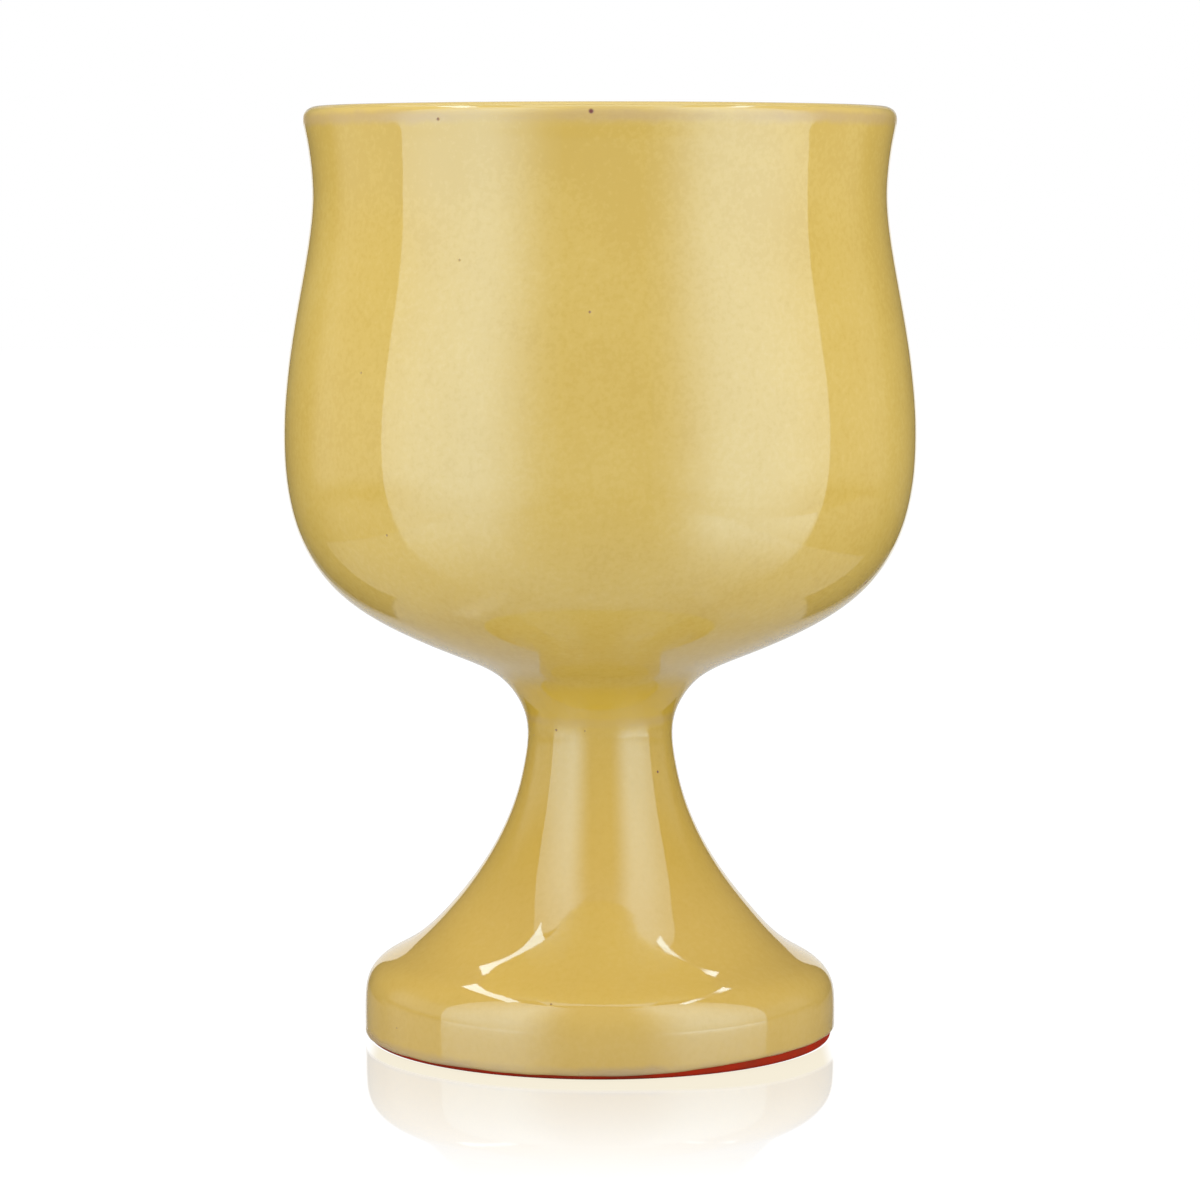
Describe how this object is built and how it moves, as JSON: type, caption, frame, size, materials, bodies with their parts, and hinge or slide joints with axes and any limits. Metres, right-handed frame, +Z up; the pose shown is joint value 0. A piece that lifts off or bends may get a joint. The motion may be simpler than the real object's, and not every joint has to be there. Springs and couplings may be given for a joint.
{
  "type": "chalice",
  "caption": "Pottery drinking chalice: round flared bowl on a waisted stem with a heavy round foot, glazed yellow over red clay.",
  "frame": {"origin": "centre of the foot's resting plane", "axes": "+Z up along the wheel's axis through the bowl; the piece is turned, so X and Y are free"},
  "size_m": [0.1018, 0.1018, 0.15],
  "materials": {
    "red_clay": "bare fired red clay, matt",
    "slip": "fired slip, matt",
    "yellow_glaze": "opaque gloss glaze"
  },
  "bodies": {
    "root": {"bowl": "red_clay", "joint_slip": "slip", "pedestal": "red_clay", "lining_glaze": "yellow_glaze", "outer_glaze": "yellow_glaze"}
  },
  "joints": []
}
